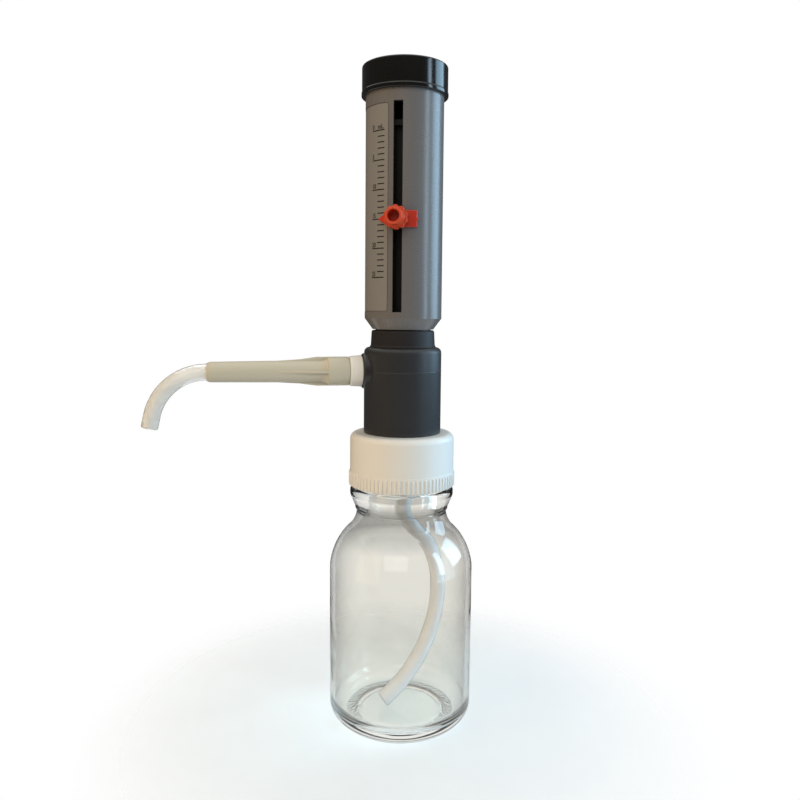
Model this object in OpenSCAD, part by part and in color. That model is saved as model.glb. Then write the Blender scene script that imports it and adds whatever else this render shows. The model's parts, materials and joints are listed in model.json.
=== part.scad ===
// Bottle top dispenser: a piston pump for measured volumes that screws onto a
// laboratory bottle. Millimetres, +Z up, origin at the middle of the bottle's
// base. The nozzle points along -X. It is drawn with the plunger pushed down.

/* [Bottle] */
// Outside diameter of the bottle's body
bottle_d = 70; // [64:1:80]
// Height of the bottle's mouth above its base
bottle_h = 137; // [132:1:160]
// Height of the finish, from the narrowest part of the neck to the mouth
finish_h = 31.7; // [30:0.1:36]
// Height of the sloping shoulder
shoulder_h = 28.3; // [26:0.1:32]
// Share of the shoulder's curve that is the outer, convex arc
shoulder_share = 0.68; // [0.6:0.01:0.75]
// Outside diameter of the neck at its narrowest
neck_d = 43.8; // [43:0.1:45]
// Outside diameter of the glass ring under the cap
ring_d = 50.4; // [47:0.1:51]
// Outside diameter of the finish that the cap goes over
finish_d = 44.4; // [43.5:0.1:45]
// Bore of the mouth
mouth_d = 31; // [28:0.5:33]
// Thickness of the bottle's wall
glass_wall = 2.4; // [1.8:0.1:3]
// Thickness of the bottle's floor
glass_floor = 3.6; // [2.6:0.1:5]
// Radius of the heel
heel_r = 10; // [8:0.5:13]
// Height of the hollow under the base
punt_h = 2.2; // [1.5:0.1:3]

/* [Screw cap] */
// Outside diameter of the cap at its top
cap_d = 50.6; // [50:0.1:54]
// Outside diameter over the ribs at its lower edge
cap_rib_d = 51.8; // [51.2:0.1:55]
// Height of the cap
cap_h = 25.5; // [22:0.5:27]
// Thickness of the cap's top
cap_top_t = 2.4; // [2:0.1:3]
// Thickness of the gasket on the mouth
gasket_t = 1.5; // [1:0.1:2.5]
// Number of grip ribs round the cap
cap_ribs = 76; // [48:4:90]
// Height of the band of grip ribs
rib_band_h = 6.8; // [4:0.2:10]

/* [Valve block] */
// Diameter of the block
block_d = 37.4; // [35:0.1:40]
// Height of the block above the cap
block_h = 41.3; // [38.5:0.1:48]
// Rounding of the block's shoulder
block_round = 2.5; // [1:0.1:3.5]
// Height of the outlet's axis below the block's top
outlet_drop = 11.4; // [11:0.1:12.5]
// Diameter of the outlet boss
boss_d = 17; // [15:0.5:17.5]
// Distance from the main axis to the face of the boss
boss_reach = 20; // [19.5:0.1:23]
// Diameter of the threaded neck under the block
neck_thread_d = 28; // [26:0.5:30]
// Diameter over the hub of the retaining nut, in the cap's hole
hub_d = 34; // [32:0.5:35]
// Thickness of the retaining nut's flange
flange_t = 2.4; // [2:0.1:3]

/* [Valves] */
// Diameter of the intake ball
intake_ball_d = 6; // [5:0.1:6.4]
// Lift of the intake ball
intake_lift = 2; // [1:0.1:2.5]
// Diameter of the outlet ball
outlet_ball_d = 5; // [4.4:0.1:5.2]
// Wire diameter of the outlet spring
spring_wire = 0.5; // [0.4:0.05:0.6]
// Turns of the outlet spring
spring_turns = 5; // [4:0.5:6]

/* [Cylinder] */
// Bore of the glass measuring cylinder
bore_d = 21.9; // [20:0.1:22.5]
// Wall of the measuring cylinder
cylinder_wall = 1.2; // [1:0.1:1.3]
// Wall of the guide tube round it
guide_wall = 0.95; // [0.8:0.05:1]
// Length of the cylinder and its guide tube
cylinder_l = 106; // [100:1:120]
// Height of the collar
collar_h = 8.2; // [6.5:0.1:11]
// Diameter at the foot of the collar
collar_d = 31.8; // [30:0.1:33]
// Diameter of the stop ring on the guide tube
stop_ring_d = 32.4; // [30:0.1:32.6]

/* [Sleeve] */
// Outside diameter of the sleeve
sleeve_d = 37; // [37:0.5:40]
// Wall of the sleeve
sleeve_wall = 2; // [1.6:0.1:2.2]
// Diameter of the narrow lower end of the sleeve
sleeve_foot_d = 29.4; // [28.6:0.1:32]
// Height of the taper at the sleeve's foot
sleeve_taper_h = 5.2; // [4:0.1:8]
// Length of the sleeve, up to the inside of the cap
sleeve_l = 119.7; // [118:0.1:135]
// Outside diameter of the top cap
top_cap_d = 41; // [40.5:0.5:45]
// Height of the top cap
top_cap_h = 14.1; // [12:0.1:18]
// Thickness of the top cap's roof
roof_t = 3; // [2:0.1:3.5]
// Direction that the slot and scale face, from the front
slot_turn = -21.2; // [-40:0.1:40]
// Width of the slot
slot_w = 4.4; // [3.8:0.1:5]
// Thickness of the scale label
label_t = 0.25; // [0.15:0.05:0.35]
// Angle from the slot to the near edge of the label
label_start = 13.5; // [11:0.5:16]
// Angle that the label covers
label_arc = 72; // [50:1:90]

/* [Volume scale] */
// Largest volume on the scale, in millilitres
scale_volume = 25; // [20:1:26]
// Volume that the pointer is set to
set_volume = 15; // [5:1:20]
// Height of the stop block that limits the stroke
stop_h = 4; // [3:0.1:5]

/* [Pointer and knob] */
// Height of the pointer plate
plate_h = 7.6; // [6:0.1:9]
// Thickness of the pointer plate
plate_t = 1.8; // [1.4:0.1:2.4]
// Distance from the slot to the pointer's tip
pointer_reach = 9.2; // [8:0.1:10]
// Distance from the slot to the plate's square end
plate_reach = 9.2; // [7:0.1:11]
// Distance of the pointer's tip below the middle of the stud
plate_drop = 0.3; // [0:0.1:1]
// Diameter over the knob's lobes
knob_d = 10.9; // [9.5:0.1:13]
// Number of lobes
knob_lobes = 10; // [6:1:12]
// Thickness of the lobed rim
knob_rim_t = 4; // [3:0.1:5]
// Diameter of the knob's face ring
knob_face_d = 7.9; // [6.5:0.1:8.6]
// Height of the face ring above the rim
knob_face_h = 5.5; // [3:0.1:7]
// Diameter of the hollow in the knob's face
knob_hollow_d = 5.4; // [4:0.1:6]
// Height of the hollow's floor above the knob's back
knob_floor = 2.2; // [1.8:0.1:3]
// Diameter of the clamp stud
stud_d = 3.4; // [3:0.1:3.6]

/* [Nozzle] */
// Outside diameter of the union nut
union_d = 15.2; // [14.6:0.1:17]
// Diameter of the union nut at its outer end
union_end_d = 14.3; // [13.5:0.1:15]
// Length of the union nut
union_l = 6.2; // [6:0.1:8]
// Diameter of the nozzle housing at its collar
housing_collar_d = 13.8; // [12.5:0.1:15]
// Length of the housing's collar
housing_collar_l = 10.3; // [8:0.1:12]
// Length of the housing
housing_l = 66; // [55:1:80]
// Diameter of the housing's barrel
housing_d = 10.2; // [9.6:0.1:11]
// Diameter of the barrel at its free end
housing_end_d = 9.5; // [9.2:0.1:10]
// Length of the housing's ribs
housing_rib_l = 24; // [18:0.5:28]
// Thickness of the housing's ribs
housing_rib_t = 1.3; // [1.2:0.1:2.4]
// Outside diameter of the jet tube and of the dip tube
tube_d = 7.7; // [7.4:0.1:8.4]
// Bore of the jet tube and of the dip tube
tube_bore_d = 6; // [5.4:0.1:6.2]
// Radius of the jet tube's bend
jet_bend_r = 25; // [18:1:32]
// Angle of the jet tube's bend
jet_bend_angle = 78; // [60:1:90]
// Length of the jet tube's straight tip
jet_tip_l = 6; // [5:0.5:14]

/* [Dip tube] */
// Sideways bow of the dip tube in the bottle
tube_bow = 21; // [12:0.5:23]
// Height of the widest part of the bow above the bottle's floor
tube_bow_z = 58; // [50:1:66]
// Radius of the dip tube's lower bend
tube_low_r = 64; // [62:1:80]
// Direction of the bow, from +X
tube_turn = 13; // [-180:1:180]

/* [Clearances] */
// Radial clearance of a part that turns or slides in another
run_gap = 0.1; // [0.05:0.01:0.15]
// End clearance of a part that turns between two faces
turn_gap = 0.1; // [0.05:0.01:0.2]
// Clearance between the piston's rings and the cylinder
ring_gap = 0.03; // [0.01:0.01:0.05]
// Gap between the foot of the sleeve and the collar
foot_gap = 0.5; // [0.3:0.1:1]
// Clearance of the cap round the finish and above the glass ring
cap_gap = 0.15; // [0.1:0.05:0.3]
// Clearance of a ball from its seat
rest_gap = 0.03; // [0.01:0.01:0.05]
// Clearance of the dip tube's end from the bottle's floor
floor_gap = 0.3; // [0.2:0.1:1]

/* [Hidden] */
$fn = 96;
step = 0.01;  // the little that a cutting tool runs past a face

// Heights of the stack, from the mouth of the bottle upwards
gasket_z = bottle_h;
flange_z = gasket_z + gasket_t;
cap_roof_z = flange_z + flange_t + turn_gap;
cap_top_z = cap_roof_z + cap_top_t;
cap_bottom_z = cap_top_z - cap_h;
block_z = cap_top_z + turn_gap;
block_top_z = block_z + block_h;
outlet_z = block_top_z - outlet_drop;
pocket_h = 6.3;  // depth of the cylinder's pocket in the block
seal_t = 1.5;    // thickness of the cylinder's seal
pocket_z = block_top_z - pocket_h;
cylinder_z = pocket_z + seal_t;
cylinder_top_z = cylinder_z + cylinder_l;
stop_ring_t = 2.5;
collar_top_z = block_top_z + collar_h;
sleeve_z = collar_top_z + foot_gap;
sleeve_top_z = sleeve_z + sleeve_l;
top_cap_top_z = sleeve_top_z + roof_t;
top_cap_z = top_cap_top_z - top_cap_h;

// Radii of the nested tubes
bore_r = bore_d / 2;
glass_r = bore_r + cylinder_wall;
guide_in_r = glass_r + 0.15;
guide_r = guide_in_r + guide_wall;
pocket_r = guide_r + 1.1;
sleeve_r = sleeve_d / 2;
sleeve_in_r = sleeve_r - sleeve_wall;
lip_r = guide_r + run_gap;
tube_r = tube_d / 2;
tube_bore_r = tube_bore_d / 2;

// Volume scale: the travel for one millilitre follows from the bore
mm_per_ml = 1000 / (PI * bore_r * bore_r);
full_stroke = scale_volume * mm_per_ml;
set_stroke = set_volume * mm_per_ml;
pointer_zero_z = cylinder_top_z - stop_h / 2;  // pointer height at no volume
pointer_z = pointer_zero_z - set_stroke;
slot_top_z = pointer_zero_z + 12.5;
slot_bottom_z = pointer_zero_z - full_stroke - 16;
label_top_z = slot_top_z - 0.5;
label_bottom_z = slot_bottom_z + 0.2;

// Piston and rod
piston_z = cylinder_z + 1;
piston_l = 18;
piston_r = bore_r - run_gap;
piston_ring_h = 2.5;
rod_r = 5;
rod_thread_r = 3.5;
rod_thread_l = 9;
spigot_r = 3;
web_t = 3;
web_z = sleeve_top_z - 13.2;
washer_t = 0.8;
rod_nut_h = 4.1;
rod_nut_w = 10;
spigot_top_z = web_z + web_t + turn_gap + washer_t + rod_nut_h + 1;

// Bottle
finish_r = finish_d / 2;
neck_r = neck_d / 2;
neck_z = bottle_h - finish_h;
shoulder_z = neck_z - shoulder_h;
shoulder_run = bottle_d / 2 - neck_r;
shoulder_sum_r = (shoulder_run * shoulder_run + shoulder_h * shoulder_h) / (2 * shoulder_run);
shoulder_out_r = shoulder_share * shoulder_sum_r;
shoulder_in_r = shoulder_sum_r - shoulder_out_r;
shoulder_angle = asin(shoulder_h / shoulder_sum_r);
ring_z = cap_bottom_z - 1.4;
inner_floor_z = punt_h + glass_floor;

// Intake valve, on the main axis under the block
intake_shank_r = 8;
intake_pocket_r = 5.2;
intake_seat_t = 3;
intake_ball_r = intake_ball_d / 2;
intake_seat_z = flange_z + 8.5;
intake_chamber_z = intake_seat_z + intake_seat_t;
intake_cone_r = intake_ball_r + 0.4;
intake_ball_z = intake_chamber_z - intake_cone_r + sqrt(2) * intake_ball_r + rest_gap;
intake_cage_top_z = intake_ball_z + intake_ball_r + intake_lift + 0.1;
intake_top_z = intake_cage_top_z + 2;
intake_head_r = 10.5;
intake_head_h = 4.9;
barb_l = 15.5;
barb_z = flange_z - intake_head_h - barb_l;

// Outlet valve, at right angles to the main axis; u is the distance from that axis
outlet_pocket_r = 4.8;
outlet_seat_u = 8.5;
outlet_seat_t = 2.5;
outlet_ball_r = outlet_ball_d / 2;
outlet_cone_r = outlet_ball_r + 0.5;
outlet_chamber_u = outlet_seat_u + outlet_seat_t;
outlet_ball_u = outlet_chamber_u - outlet_cone_r + sqrt(2) * outlet_ball_r + rest_gap;
outlet_thread_r = 5.9;
outlet_thread_u = boss_reach + 2.3;
outlet_wall_u = outlet_thread_u - 2;
spring_r = 2;
spring_wire_r = spring_wire / 2;
spring_start_u = outlet_ball_u
    + sqrt(pow(outlet_ball_r + spring_wire_r + rest_gap, 2) - spring_r * spring_r);
spring_end_u = outlet_wall_u - spring_wire_r - rest_gap;

// Union and nozzle
union_u = boss_reach + turn_gap;
union_end_u = union_u + union_l;
insert_u = outlet_thread_u + 1;
insert_flange_t = 1.5;
insert_flange_r = outlet_thread_r - 0.3;
insert_r = tube_r;
insert_end_u = insert_u + 13;
housing_u = union_end_u + turn_gap;
housing_end_u = housing_u + housing_l;
jet_start_u = insert_end_u;

// Stop block, pointer and knob; x is the distance from the main axis
stop_in_x = guide_r + 0.7;
stop_out_x = sleeve_in_r - run_gap;
plate_in_r = sleeve_r + run_gap;
plate_r = plate_in_r + plate_t;
knob_x = plate_r + turn_gap;
knob_rim_end_x = knob_x + knob_rim_t;
knob_face_x = knob_rim_end_x + knob_face_h;
stud_end_x = knob_x + knob_floor - 0.8;

// Points along an arc about [x, z], from angle a to angle b
function arc(x, z, r, a, b, n = 8) =
    [for (i = [0:n]) [x + r * cos(a + (b - a) * i / n), z + r * sin(a + (b - a) * i / n)]];

module revolve(points) {
    rotate_extrude() polygon(points);
}

module ring(inner_r, outer_r, z0, z1) {
    difference() {
        translate([0, 0, z0]) cylinder(r = outer_r, h = z1 - z0);
        translate([0, 0, z0 - 1]) cylinder(r = inner_r, h = z1 - z0 + 2);
    }
}

// Local +Z runs out along the nozzle and local +X is up
module along_nozzle() {
    translate([0, 0, outlet_z]) rotate([0, -90, 0]) children();
}

// Local +X runs out through the slot
module at_slot(z = 0) {
    rotate([0, 0, slot_turn - 90]) translate([0, 0, z]) children();
}

// Outline of the bottle's shoulder and neck, a wall's thickness in from the outside
function bottle_side(inset) = concat(
    arc(bottle_d / 2 - shoulder_out_r, shoulder_z, shoulder_out_r - inset,
        0, shoulder_angle, 12),
    arc(neck_r + shoulder_in_r, neck_z, shoulder_in_r + inset, 180 + shoulder_angle, 180, 8));

function reversed(list) = [for (i = [len(list) - 1:-1:0]) list[i]];

// Bottle: a blown body on a hollow base, a moulded neck, ring and finish
module bottle() {
    heel_x = bottle_d / 2 - heel_r;
    inner_heel_r = heel_r - glass_wall;
    lip_round = 1.2;
    color([0.86, 0.93, 0.92, 0.35]) revolve(concat(
        [[0, punt_h], [heel_x - 5, punt_h], [heel_x - 2, 0]],
        arc(heel_x, heel_r, heel_r, -90, 0, 10),
        bottle_side(0),
        [[neck_r + 0.5, neck_z + 2], [ring_d / 2, ring_z - 3]],
        arc(ring_d / 2 - lip_round, ring_z - lip_round, lip_round, 0, 90, 4),
        [[finish_r - 0.6, ring_z], [finish_r, ring_z + 0.6]],
        arc(finish_r - lip_round, bottle_h - lip_round, lip_round, 0, 90, 4),
        arc(mouth_d / 2 + lip_round, bottle_h - lip_round, lip_round, 90, 180, 4),
        [[mouth_d / 2, neck_z + 8]],
        reversed(bottle_side(glass_wall)),
        arc(heel_x, inner_floor_z + inner_heel_r, inner_heel_r, 0, -90, 8),
        [[0, inner_floor_z]]));
}

module neck_gasket() {
    color("white") ring(mouth_d / 2 + 0.6, finish_r - 0.8, gasket_z, gasket_z + gasket_t);
}

// Cap: a smooth skirt with a rounded top edge and a band of grip ribs at its foot
module screw_cap() {
    top_r = cap_d / 2;
    band_r = cap_rib_d / 2 - 0.45;
    inner_r = finish_r + cap_gap;
    round_r = 3;
    band_top_z = cap_bottom_z + rib_band_h;
    pitch = 360 / cap_ribs;
    color([0.95, 0.95, 0.94]) difference() {
        union() {
            revolve(concat(
                [[0, cap_bottom_z], [band_r, cap_bottom_z], [band_r, band_top_z]],
                arc(top_r - round_r, cap_top_z - round_r, round_r, 0, 90, 8),
                [[0, cap_top_z]]));
            translate([0, 0, cap_bottom_z]) linear_extrude(rib_band_h - 0.4)
                polygon([for (i = [0:cap_ribs - 1], s = [0:3])
                    let (a = (i + [0.08, 0.27, 0.53, 0.72][s]) * pitch,
                        r = band_r + [-0.02, 0.45, 0.45, -0.02][s])
                    [r * cos(a), r * sin(a)]]);
        }
        translate([0, 0, cap_bottom_z - 1]) cylinder(r = inner_r, h = cap_roof_z - cap_bottom_z + 1);
        translate([0, 0, cap_roof_z - 1]) cylinder(r = hub_d / 2 + run_gap, h = cap_top_t + 2);
    }
}

// Nut under the cap: its hub goes up through the cap and screws onto the block
module cap_retainer() {
    color([0.2, 0.2, 0.22]) difference() {
        union() {
            translate([0, 0, flange_z]) cylinder(r = finish_r - 0.6, h = flange_t);
            translate([0, 0, flange_z]) cylinder(r = hub_d / 2, h = block_z - flange_z);
        }
        translate([0, 0, flange_z - 1]) cylinder(d = neck_thread_d, h = block_z - flange_z + 2);
    }
}

module valve_block() {
    color([0.2, 0.21, 0.24]) difference() {
        union() {
            revolve(concat(
                [[0, block_z], [block_d / 2, block_z]],
                arc(block_d / 2 - block_round, block_top_z - block_round, block_round, 0, 90, 6),
                [[0, block_top_z]]));
            translate([0, 0, flange_z]) cylinder(d = neck_thread_d, h = block_z - flange_z + 1);
            along_nozzle() revolve([
                [0, 6], [boss_d / 2, 6], [boss_d / 2, boss_reach - 1], [boss_d / 2 - 1, boss_reach],
                [outlet_thread_r, boss_reach], [outlet_thread_r, outlet_thread_u],
                [0, outlet_thread_u]]);
        }
        translate([0, 0, flange_z - 1]) cylinder(r = intake_shank_r, h = intake_top_z - flange_z + 1);
        translate([0, 0, flange_z]) cylinder(r = 4, h = block_h);
        translate([0, 0, intake_top_z + 6]) cylinder(r = 7, h = block_h);
        translate([0, 0, pocket_z]) cylinder(r = pocket_r, h = block_h);
        along_nozzle() cylinder(r = 2.5, h = outlet_seat_u + 1);
        along_nozzle() translate([0, 0, outlet_seat_u]) cylinder(r = outlet_pocket_r, h = block_d);
    }
}

// Plug with the intake valve on top and the barbed hose nipple below
module intake_valve_body() {
    barb_r = tube_bore_r;
    color([0.93, 0.93, 0.9]) difference() {
        union() {
            translate([0, 0, flange_z]) cylinder(r = intake_shank_r, h = intake_top_z - flange_z);
            translate([0, 0, flange_z - intake_head_h])
                cylinder(r = intake_head_r, h = intake_head_h, $fn = 6);
            translate([0, 0, barb_z]) cylinder(r = barb_r, h = barb_l + 1);
            translate([0, 0, barb_z - 2]) cylinder(r1 = barb_r - 0.8, r2 = barb_r, h = 2);
        }
        translate([0, 0, barb_z - 3]) cylinder(r = 1.9, h = intake_top_z);
        translate([0, 0, intake_seat_z]) cylinder(r = intake_pocket_r, h = intake_top_z);
    }
}

// Seat ring with a conical mouth that a ball closes
module seat(outer_r, thickness, cone_r, hole_r) {
    revolve([[hole_r, 0], [outer_r, 0], [outer_r, thickness], [cone_r, thickness],
        [hole_r, thickness - cone_r + hole_r]]);
}

module intake_valve_seat() {
    color([0.8, 0.82, 0.8]) translate([0, 0, intake_seat_z])
        seat(intake_pocket_r, intake_seat_t, intake_cone_r, 1.9);
}

module intake_ball() {
    color([0.8, 0.85, 0.85]) translate([0, 0, intake_ball_z]) sphere(r = intake_ball_r);
}

// Cage that holds a ball near its seat: a cup with a hole and four side slots
module cage(outer_r, inner_r, start, wall, end) {
    difference() {
        translate([0, 0, start]) cylinder(r = outer_r, h = end - start);
        translate([0, 0, start - 1]) cylinder(r = inner_r, h = wall - start + 1);
        translate([0, 0, start]) cylinder(r = 1.8, h = end - start + 1);
        for (a = [0, 90])
            rotate([0, 0, a]) translate([-outer_r - 1, -0.6, wall - 2])
                cube([2 * outer_r + 2, 1.2, 2]);
    }
}

module intake_cage() {
    color([0.93, 0.93, 0.9])
        cage(intake_pocket_r, intake_ball_r + 0.9, intake_chamber_z, intake_cage_top_z, intake_top_z);
}

// Places [s, z, tilt] down the dip tube's middle line: sideways out, height, slope
dip_bend_z = barb_z + 2;
dip_bow_z = inner_floor_z + tube_bow_z;
dip_drop = dip_bend_z - dip_bow_z;
dip_bend_r = (dip_drop * dip_drop + tube_bow * tube_bow) / (4 * tube_bow);
dip_angle = asin(dip_drop / 2 / dip_bend_r);
dip_low_angle = asin((dip_bow_z - inner_floor_z - floor_gap) / (tube_low_r + tube_r));
dip_places = concat(
    [[0, flange_z - intake_head_h, 0]],
    [for (i = [0:8]) let (a = dip_angle * i / 8)
        [dip_bend_r * (1 - cos(a)), dip_bend_z - dip_bend_r * sin(a), a]],
    [for (i = [1:8]) let (a = dip_angle * (8 - i) / 8)
        [tube_bow - dip_bend_r * (1 - cos(a)), dip_bow_z + dip_bend_r * sin(a), a]],
    [for (i = [1:12]) let (a = dip_low_angle * i / 12)
        [tube_bow - tube_low_r * (1 - cos(a)), dip_bow_z - tube_low_r * sin(a), -a]]);

// Dip tube: pushed on the barb, bowed out and back to the bottle's floor in one plane
module dip_tube() {
    sides = 24;
    rings = len(dip_places);
    function loop(r) = [for (p = dip_places, j = [0:sides - 1])
        let (a = 360 * j / sides, out = r * cos(a))
        [p[0] + out * cos(p[2]), r * sin(a), p[1] + out * sin(p[2])]];
    inner = rings * sides;
    last = (rings - 1) * sides;
    walls = [for (i = [0:rings - 2], j = [0:sides - 1], half = [0, 1])
        let (k = (j + 1) % sides, a = i * sides, b = a + sides)
        half == 0 ? [a + j, b + k, b + j] : [a + j, a + k, b + k]];
    linings = [for (t = walls) [inner + t[0], inner + t[2], inner + t[1]]];
    ends = [for (j = [0:sides - 1], half = [0, 1], e = [0, last])
        let (k = (j + 1) % sides,
            t = half == 0 ? [e + j, inner + e + j, inner + e + k] : [e + j, inner + e + k, e + k])
        e == 0 ? t : [t[0], t[2], t[1]]];
    color([0.9, 0.92, 0.92]) rotate([0, 0, tube_turn])
        polyhedron(concat(loop(tube_r), loop(tube_bore_r)), concat(walls, linings, ends));
}

module outlet_valve_seat() {
    color([0.8, 0.82, 0.8]) along_nozzle() translate([0, 0, outlet_seat_u])
        seat(outlet_pocket_r, outlet_seat_t, outlet_cone_r, 1.7);
}

module outlet_ball() {
    color([0.8, 0.85, 0.85]) along_nozzle() translate([0, 0, outlet_ball_u]) sphere(r = outlet_ball_r);
}

// Coil of round wire, swept along a helix
module outlet_spring() {
    sides = 6;
    per_turn = 14;
    rings = ceil(spring_turns * per_turn);
    lead = spring_end_u - spring_start_u;
    slope = atan(lead / (spring_turns * 2 * PI * spring_r));
    points = [for (i = [0:rings], j = [0:sides - 1])
        let (turn = 360 * spring_turns * i / rings, around = 360 * j / sides,
            out = spring_wire_r * cos(around), up = spring_wire_r * sin(around))
        [(spring_r + out) * cos(turn) + up * sin(slope) * sin(turn),
            (spring_r + out) * sin(turn) - up * sin(slope) * cos(turn),
            spring_start_u + lead * i / rings + up * cos(slope)]];
    walls = [for (i = [0:rings - 1], j = [0:sides - 1], half = [0, 1])
        let (k = (j + 1) % sides)
        half == 0 ? [i * sides + j, (i + 1) * sides + j, (i + 1) * sides + k]
            : [i * sides + j, (i + 1) * sides + k, i * sides + k]];
    ends = [[for (j = [0:sides - 1]) j],
        [for (j = [sides - 1:-1:0]) rings * sides + j]];
    color([0.75, 0.76, 0.78]) along_nozzle() polyhedron(points, concat(walls, ends));
}

module outlet_cage() {
    color([0.93, 0.93, 0.9]) along_nozzle()
        cage(outlet_pocket_r, outlet_ball_r + 0.7, outlet_chamber_u, outlet_wall_u, outlet_thread_u);
}

module outlet_seal() {
    color("white") along_nozzle() ring(1.8, insert_flange_r, outlet_thread_u, insert_u);
}

module union_nut() {
    hole_u = insert_u + insert_flange_t + turn_gap;
    color([0.96, 0.95, 0.93]) along_nozzle() difference() {
        revolve([[0, union_u], [union_d / 2 - 0.4, union_u], [union_d / 2, union_u + 0.4],
            [union_end_d / 2, union_end_u - 0.6], [union_end_d / 2 - 0.6, union_end_u],
            [0, union_end_u]]);
        translate([0, 0, union_u - 1]) cylinder(r = outlet_thread_r + run_gap, h = hole_u - union_u + 1);
        translate([0, 0, union_u]) cylinder(r = insert_r + run_gap, h = union_l + 1);
    }
}

// Flanged tail piece that the union nut pulls against the seal
module nozzle_insert() {
    color([0.93, 0.93, 0.9]) along_nozzle() difference() {
        union() {
            translate([0, 0, insert_u]) cylinder(r = insert_flange_r, h = insert_flange_t);
            translate([0, 0, insert_u]) cylinder(r = insert_r, h = insert_end_u - insert_u);
        }
        translate([0, 0, insert_u - 1]) cylinder(r = 2.2, h = insert_end_u);
    }
}

// Housing round the jet tube: a collar, a barrel and four ribs that run out along it
module nozzle_housing() {
    collar_r = housing_collar_d / 2;
    slim_r = housing_d / 2;
    end_r = housing_end_d / 2;
    collar_end_u = housing_u + housing_collar_l;
    rib_r = collar_r - 0.05;
    rib_end_u = collar_end_u + housing_rib_l;
    color([0.8, 0.78, 0.71]) along_nozzle() difference() {
        union() {
            revolve([[0, housing_u], [collar_r - 0.3, housing_u], [collar_r, housing_u + 0.3],
                [collar_r, collar_end_u - 0.4], [collar_r - 0.4, collar_end_u],
                [collar_r - 1, collar_end_u], [slim_r, collar_end_u + 2.5],
                [slim_r, rib_end_u], [end_r, housing_end_u - 1.6],
                [end_r - 0.6, housing_end_u - 0.3], [end_r - 0.7, housing_end_u],
                [0, housing_end_u]]);
            for (a = [0:90:270])
                rotate([0, 0, a]) translate([0, housing_rib_t / 2, 0]) rotate([90, 0, 0])
                    linear_extrude(housing_rib_t)
                        polygon([[slim_r - 0.6, collar_end_u - 1], [rib_r, collar_end_u - 1],
                            [rib_r, collar_end_u + 5], [rib_r * 0.35 + slim_r * 0.65, rib_end_u - 11],
                            [slim_r, rib_end_u], [slim_r - 0.6, rib_end_u]]);
        }
        translate([0, 0, housing_u - 1]) cylinder(r = tube_r, h = housing_l + 2);
    }
}

// Jet tube: a tail necked a little to enter the housing, a bend and a straight tip
module jet_tube() {
    neck = 0.1;
    color([0.93, 0.94, 0.93]) along_nozzle() {
        ring(tube_bore_r + neck, tube_r - neck, jet_start_u, housing_end_u + 0.6);
        translate([-jet_bend_r, 0, housing_end_u]) rotate([90, 0, 0]) rotate([0, 0, jet_bend_angle]) {
            mirror([0, 1, 0]) rotate_extrude(angle = jet_bend_angle)
                translate([jet_bend_r, 0]) difference() {
                    circle(r = tube_r, $fn = 48);
                    circle(r = tube_bore_r, $fn = 48);
                }
            translate([jet_bend_r, 0, 0]) rotate([-90, 0, 0]) revolve([
                [tube_bore_r, 0], [tube_r, 0], [tube_r, jet_tip_l - 0.5],
                [tube_r - 0.3, jet_tip_l - 0.1], [tube_r - 0.6, jet_tip_l],
                [tube_bore_r, jet_tip_l]]);
        }
    }
}

module cylinder_seal() {
    color("white") ring(bore_r, pocket_r, pocket_z, cylinder_z);
}

// Collar nut that holds the guide tube in the block
module cylinder_collar() {
    foot_r = collar_d / 2;
    color([0.17, 0.18, 0.21]) revolve(concat(
        [[guide_r, cylinder_z], [pocket_r, cylinder_z], [pocket_r, block_top_z],
            [foot_r, block_top_z], [foot_r, block_top_z + 0.8]],
        arc(foot_r - 1.5, collar_top_z - 0.7, 0.7, 0, 90, 5),
        [[guide_r, collar_top_z]]));
}

module guide_tube() {
    color([0.1, 0.1, 0.11]) ring(guide_in_r, guide_r, cylinder_z, cylinder_top_z);
}

module glass_cylinder() {
    color([0.86, 0.92, 0.92, 0.4]) ring(bore_r, glass_r, cylinder_z, cylinder_top_z);
}

// Flange on top of the guide tube, where the stop block ends the stroke
module stop_ring() {
    color([0.1, 0.1, 0.11])
        ring(bore_r - 0.5, stop_ring_d / 2, cylinder_top_z, cylinder_top_z + stop_ring_t);
}

module piston() {
    groove_r = piston_r - 1.7;
    color([0.94, 0.94, 0.92]) difference() {
        revolve([[0, piston_z], [piston_r - 1, piston_z], [piston_r, piston_z + 1],
            [piston_r, piston_z + 3], [groove_r, piston_z + 3],
            [groove_r, piston_z + 3 + piston_ring_h], [piston_r, piston_z + 3 + piston_ring_h],
            [piston_r, piston_z + 11], [groove_r, piston_z + 11],
            [groove_r, piston_z + 11 + piston_ring_h], [piston_r, piston_z + 11 + piston_ring_h],
            [piston_r, piston_z + piston_l - 1], [piston_r - 1, piston_z + piston_l],
            [0, piston_z + piston_l]]);
        translate([0, 0, piston_z + piston_l - rod_thread_l]) cylinder(r = rod_thread_r, h = 2 * piston_l);
    }
}

module piston_rings() {
    color([0.25, 0.25, 0.27]) for (z = [3, 11])
        ring(piston_r - 1.7, bore_r - ring_gap, piston_z + z, piston_z + z + piston_ring_h);
}

module piston_rod() {
    rod_z = piston_z + piston_l;
    color([0.12, 0.12, 0.13]) revolve([[0, rod_z - rod_thread_l], [rod_thread_r, rod_z - rod_thread_l],
        [rod_thread_r, rod_z], [rod_r, rod_z], [rod_r, web_z - turn_gap], [spigot_r, web_z - turn_gap],
        [spigot_r, spigot_top_z - 0.6], [spigot_r - 0.6, spigot_top_z], [0, spigot_top_z]]);
}

module rod_washer() {
    z = web_z + web_t + turn_gap;
    color([0.8, 0.8, 0.82]) ring(spigot_r, 7, z, z + washer_t);
}

module rod_nut() {
    z = web_z + web_t + turn_gap + washer_t;
    color([0.75, 0.75, 0.78]) difference() {
        translate([0, 0, z]) cylinder(d = rod_nut_w / cos(30), h = rod_nut_h, $fn = 6);
        translate([0, 0, z - 1]) cylinder(r = spigot_r, h = rod_nut_h + 2);
    }
}

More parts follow.
